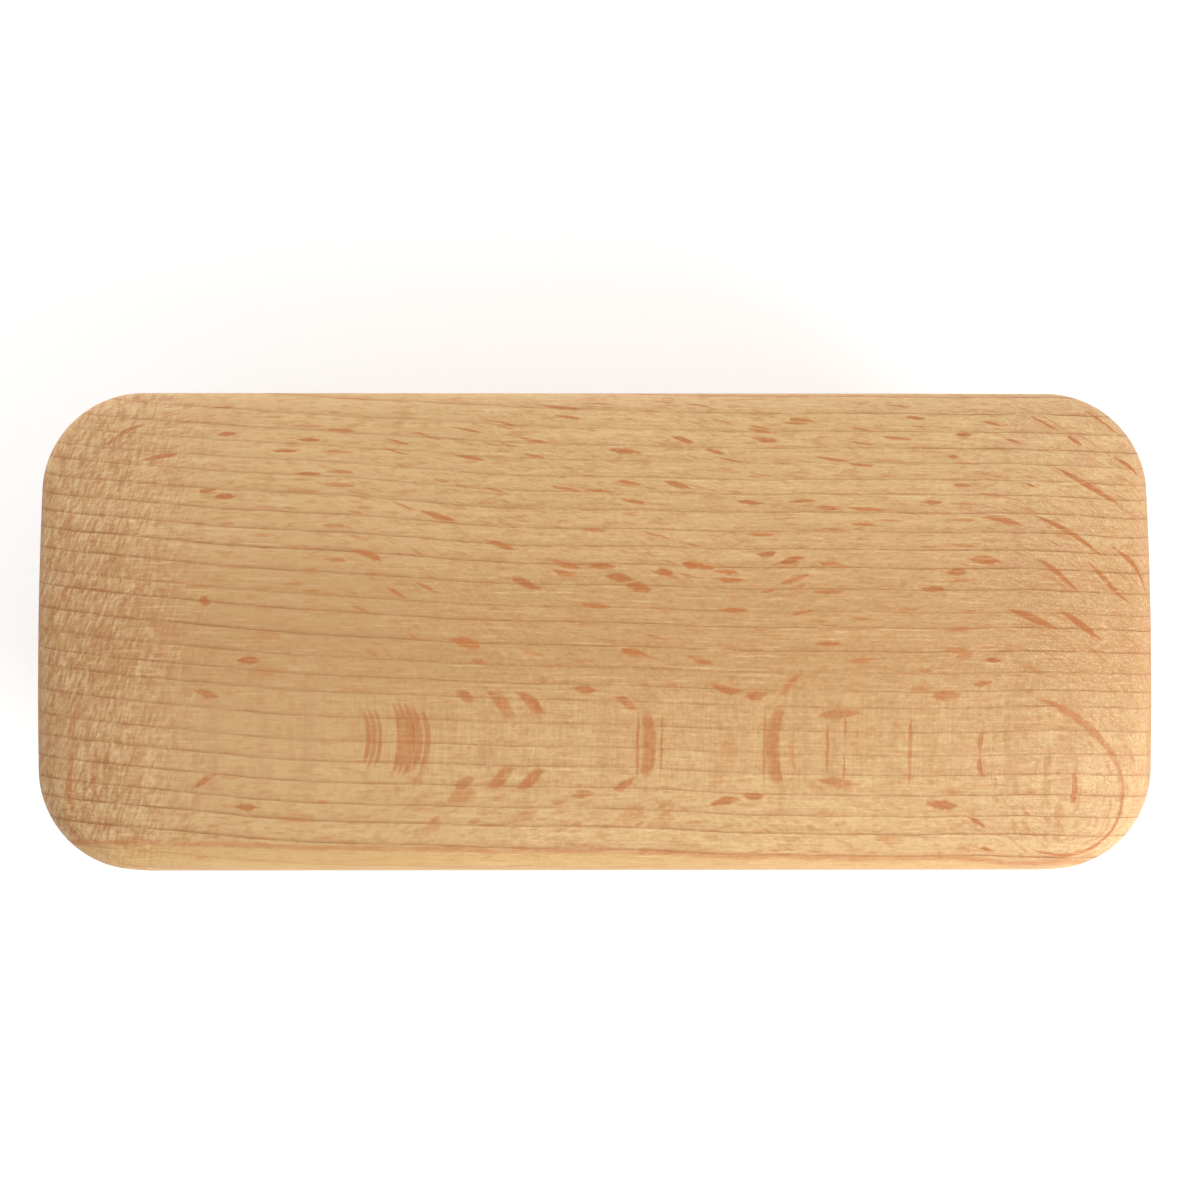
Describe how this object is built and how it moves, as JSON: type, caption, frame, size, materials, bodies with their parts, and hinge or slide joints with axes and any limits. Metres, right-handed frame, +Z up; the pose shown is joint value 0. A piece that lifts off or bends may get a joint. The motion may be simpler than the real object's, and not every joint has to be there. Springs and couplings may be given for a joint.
{
  "type": "nail brush",
  "caption": "Nail brush: a rounded rectangular beech block with a crowned back, drilled underneath for rows of folded fibre tufts that metal anchors hold in their holes.",
  "frame": {"origin": "on the surface that the bristle tips stand on, under the middle of the block", "axes": "+X along the block, +Y across it, +Z up through the block's crowned back"},
  "size_m": [0.095, 0.041, 0.032],
  "materials": {
    "beech": "bare, finely sanded, matt",
    "bristle_fibre": "stiff plant fibre, matt",
    "anchor_wire": "bright drawn wire"
  },
  "bodies": {
    "root": {"anchor_plates": "anchor_wire", "tuft_row1_01": "bristle_fibre", "tuft_row1_02": "bristle_fibre", "tuft_row1_03": "bristle_fibre", "tuft_row1_04": "bristle_fibre", "tuft_row1_05": "bristle_fibre", "tuft_row1_06": "bristle_fibre", "tuft_row1_07": "bristle_fibre", "tuft_row1_08": "bristle_fibre", "tuft_row1_09": "bristle_fibre", "tuft_row2_01": "bristle_fibre", "tuft_row2_02": "bristle_fibre", "tuft_row2_03": "bristle_fibre", "tuft_row2_04": "bristle_fibre", "tuft_row2_05": "bristle_fibre", "tuft_row2_06": "bristle_fibre", "tuft_row2_07": "bristle_fibre", "tuft_row2_08": "bristle_fibre", "tuft_row2_09": "bristle_fibre", "tuft_row2_10": "bristle_fibre", "tuft_row3_01": "bristle_fibre", "tuft_row3_02": "bristle_fibre", "tuft_row3_03": "bristle_fibre", "tuft_row3_04": "bristle_fibre", "tuft_row3_05": "bristle_fibre", "tuft_row3_06": "bristle_fibre", "tuft_row3_07": "bristle_fibre", "tuft_row3_08": "bristle_fibre", "tuft_row3_09": "bristle_fibre", "tuft_row4_01": "bristle_fibre", "tuft_row4_02": "bristle_fibre", "tuft_row4_03": "bristle_fibre", "tuft_row4_04": "bristle_fibre", "tuft_row4_05": "bristle_fibre", "tuft_row4_06": "bristle_fibre", "tuft_row4_07": "bristle_fibre", "tuft_row4_08": "bristle_fibre", "tuft_row4_09": "bristle_fibre", "tuft_row4_10": "bristle_fibre", "wooden_block": "beech"}
  },
  "joints": []
}
